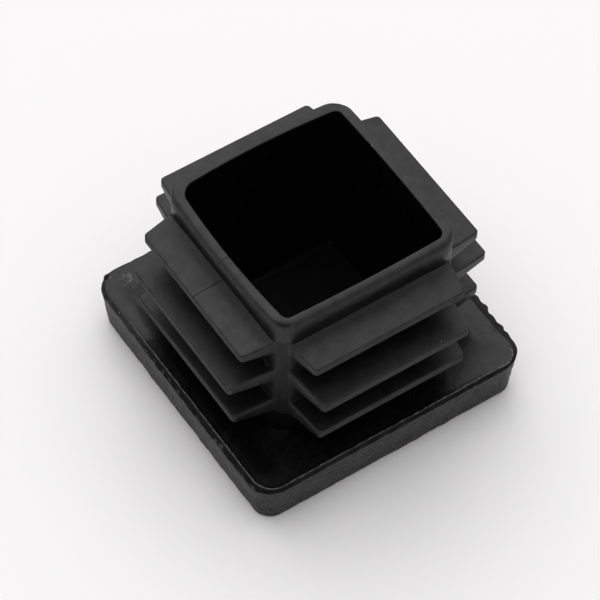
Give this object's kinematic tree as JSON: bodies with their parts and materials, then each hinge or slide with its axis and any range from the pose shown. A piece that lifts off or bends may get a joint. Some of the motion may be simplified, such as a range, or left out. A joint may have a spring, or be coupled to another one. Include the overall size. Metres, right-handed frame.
{
  "type": "tube end cap",
  "caption": "Square push-in end cap for a 25 mm square tube: flat drafted head, hollow square plug and tiers of thin fins on every side.",
  "frame": {"origin": "centre of the head's flat outer face, which the cap stands on", "axes": "+Z along the plug, from the head towards the open mouth; X and Y square to the head's sides"},
  "size_m": [0.025, 0.025, 0.0181],
  "materials": {
    "plastic": "black moulded polyethylene: smooth satin plug, fins and inner face, fine grained sides of the head"
  },
  "bodies": {
    "root": {"end_cap": "plastic"}
  },
  "joints": []
}
